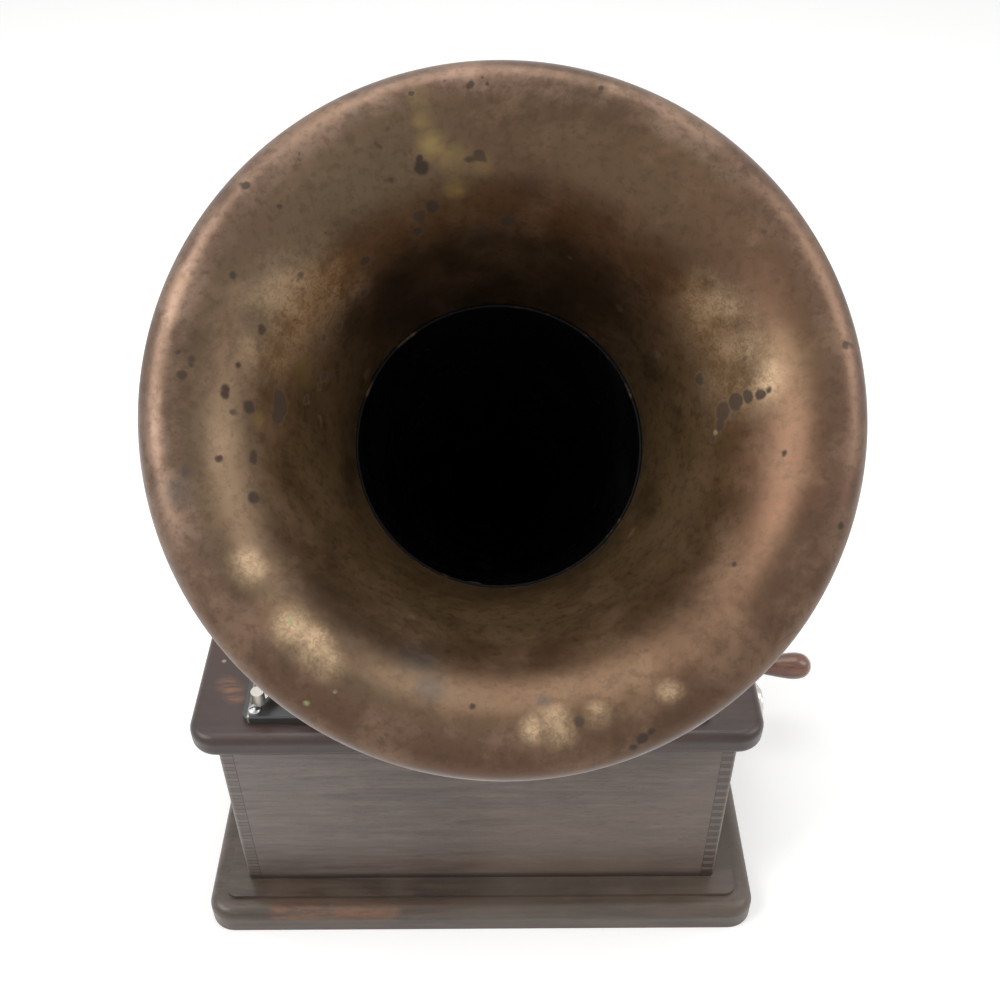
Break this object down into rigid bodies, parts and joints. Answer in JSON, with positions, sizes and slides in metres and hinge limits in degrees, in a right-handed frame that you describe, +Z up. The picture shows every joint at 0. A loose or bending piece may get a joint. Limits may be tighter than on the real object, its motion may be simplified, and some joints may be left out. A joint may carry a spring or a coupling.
{
  "type": "cylinder phonograph",
  "caption": "Spring-driven cylinder phonograph: finger-jointed wooden case, bedplate with mandrel and feed screw, side winding crank, and a straight black horn with a flared brass bell.",
  "frame": {"origin": "centre of the case's underside, on the surface it stands on", "axes": "+X to the right towards the crank, +Y to the back away from the horn's mouth, +Z up"},
  "size_m": [0.3883, 0.4467, 0.555],
  "materials": {
    "walnut": "dark walnut, old satin varnish",
    "bottom_wood": "plain softwood, unvarnished",
    "japanned_iron": "black japanning, satin",
    "nickel": "nickel plate, slightly dulled",
    "steel": "bright turned steel",
    "spring_steel": "blued spring steel",
    "brass": "satin brass",
    "bell_brass": "aged brass with a dark brown patina",
    "horn_black": "black enamel, gloss inside",
    "rubber": "matte",
    "leather": "worn leather",
    "handle_wood": "turned and varnished, reddish brown",
    "mica": "thin clear disc"
  },
  "bodies": {
    "cabinet": {"base_moulding": "walnut", "bottom_board": "bottom_wood", "front_panel": "walnut", "back_panel": "walnut", "left_panel": "walnut", "right_panel": "walnut", "deck_frame": "walnut", "bedplate": "japanned_iron", "screws": "steel", "crank_escutcheon": "nickel", "left_pedestal": "japanned_iron", "right_pedestal": "japanned_iron", "mandrel_bushing": "brass", "gear_cover": "japanned_iron", "back_rod": "steel", "front_rail": "nickel", "gate_post": "japanned_iron", "belt": "leather", "motor_plates": "brass", "motor_pillars": "steel"},
    "mandrel_group": {"mandrel": "nickel", "mandrel_shaft": "steel", "mandrel_pulley": "nickel", "mandrel_gear": "steel"},
    "idler": {"idler_gear": "steel"},
    "feed_group": {"feed_gear": "steel", "feed_screw": "steel"},
    "gate": {"end_gate": "japanned_iron", "gate_centre": "nickel"},
    "sleeve": {"carriage_sleeve": "nickel"},
    "carriage": {"carriage_arm": "nickel", "half_nut": "brass", "eye_clamp_screw": "nickel", "reproducer_body": "nickel", "diaphragm": "mica"},
    "floating_weight": {"reproducer_weight": "nickel"},
    "lift": {"lift_lever": "nickel"},
    "horn": {"horn_sleeve": "rubber", "horn_elbow": "nickel", "horn_cone": "horn_black", "horn_bell": "bell_brass"},
    "crank": {"winding_shaft": "steel", "crank_arm": "nickel", "ratchet_wheel": "steel"},
    "handle": {"crank_handle": "handle_wood"},
    "click": {"pawl": "steel"},
    "barrel": {"great_wheel": "brass", "spring_barrel": "brass", "mainspring": "spring_steel"},
    "second": {"second_arbor": "steel", "second_wheel": "brass"},
    "drive": {"drive_arbor": "steel", "drive_pulley": "brass", "governor_wheel": "brass"},
    "governor": {"governor_spindle": "steel", "governor_disc": "brass", "governor_weights": "spring_steel"},
    "brake": {"brake_lever": "steel"},
    "speed": {"speed_screw": "nickel"},
    "stop": {"stop_lever": "nickel"}
  },
  "joints": [
    {"name": "mandrel_spin", "type": "hinge", "parent": "cabinet", "child": "mandrel_group", "pos_m": [0, -0.056, 0.217], "axis": [1, 0, 0], "continuous": true},
    {"name": "idler_spin", "type": "hinge", "parent": "cabinet", "child": "idler", "pos_m": [-0.084, -0.024, 0.21713], "axis": [1, 0, 0], "continuous": true},
    {"name": "feed_spin", "type": "hinge", "parent": "cabinet", "child": "feed_group", "pos_m": [0, 0.006, 0.206], "axis": [1, 0, 0], "continuous": true},
    {"name": "drive_spin", "type": "hinge", "parent": "cabinet", "child": "drive", "pos_m": [0, -0.056, 0.128], "axis": [1, 0, 0], "continuous": true},
    {"name": "second_spin", "type": "hinge", "parent": "cabinet", "child": "second", "pos_m": [0, -0.0285, 0.13657], "axis": [1, 0, 0], "continuous": true},
    {"name": "barrel_spin", "type": "hinge", "parent": "cabinet", "child": "barrel", "pos_m": [0, -0.0225, 0.095], "axis": [1, 0, 0], "continuous": true},
    {"name": "governor_spin", "type": "hinge", "parent": "cabinet", "child": "governor", "pos_m": [0, -0.056, 0.098], "axis": [1, 0, 0], "continuous": true},
    {"name": "gate_swing", "type": "hinge", "parent": "cabinet", "child": "gate", "pos_m": [0.074, -0.024, 0.216], "axis": [0, 0, 1], "range_deg": [0, 95]},
    {"name": "carriage_slide", "type": "slide", "parent": "cabinet", "child": "sleeve", "axis": [1, 0, 0], "range_m": [-0.05, 0.048]},
    {"name": "carriage_lift", "type": "hinge", "parent": "sleeve", "child": "carriage", "pos_m": [0.006, 0.032, 0.226], "axis": [-1, 0, 0], "range_deg": [0, 3.09]},
    {"name": "lift_lever_turn", "type": "hinge", "parent": "carriage", "child": "lift", "pos_m": [0.024, -0.0905, 0.22799], "axis": [0, 1, 0], "range_deg": [0, 60.2]},
    {"name": "weight_float", "type": "hinge", "parent": "carriage", "child": "floating_weight", "pos_m": [0.006, -0.072, 0.2487], "axis": [-1, 0, 0], "range_deg": [0, 3]},
    {"name": "horn_turn", "type": "hinge", "parent": "carriage", "child": "horn", "pos_m": [0.006, -0.056, 0.27], "axis": [0, 0, 1], "range_deg": [-60, 60]},
    {"name": "crank_turn", "type": "hinge", "parent": "cabinet", "child": "crank", "pos_m": [0, -0.0225, 0.095], "axis": [1, 0, 0], "continuous": true},
    {"name": "handle_spin", "type": "hinge", "parent": "crank", "child": "handle", "pos_m": [0.198, 0.0425, 0.057], "axis": [1, 0, 0], "continuous": true},
    {"name": "pawl_click", "type": "hinge", "parent": "cabinet", "child": "click", "pos_m": [0.0655, 0.0015, 0.081], "axis": [1, 0, 0], "range_deg": [0, 20], "stiffness_Nm_per_rad": 0.004, "springref_deg": -17.19},
    {"name": "speed_turn", "type": "hinge", "parent": "cabinet", "child": "speed", "pos_m": [-0.03, -0.07, 0.165], "axis": [0, 0, 1], "range_deg": [0, 360]},
    {"name": "brake_swing", "type": "hinge", "parent": "cabinet", "child": "brake", "pos_m": [-0.05, -0.07, 0.15], "axis": [0, 1, 0], "range_deg": [0, 1.1]},
    {"name": "stop_swing", "type": "hinge", "parent": "cabinet", "child": "stop", "pos_m": [-0.107, -0.074, 0.165], "axis": [0, 0, 1], "range_deg": [0, 25]}
  ],
  "couplings": [
    {"joint": "idler_spin", "follows": "mandrel_spin", "ratio": -1.9091},
    {"joint": "feed_spin", "follows": "mandrel_spin", "ratio": 1},
    {"joint": "drive_spin", "follows": "mandrel_spin", "ratio": 1},
    {"joint": "second_spin", "follows": "mandrel_spin", "ratio": -0.2},
    {"joint": "barrel_spin", "follows": "mandrel_spin", "ratio": 0.033333},
    {"joint": "governor_spin", "follows": "mandrel_spin", "ratio": -4},
    {"joint": "lift_lever_turn", "follows": "carriage_lift", "ratio": 19.427},
    {"joint": "brake_swing", "follows": "speed_turn", "ratio": 0.0030556}
  ]
}
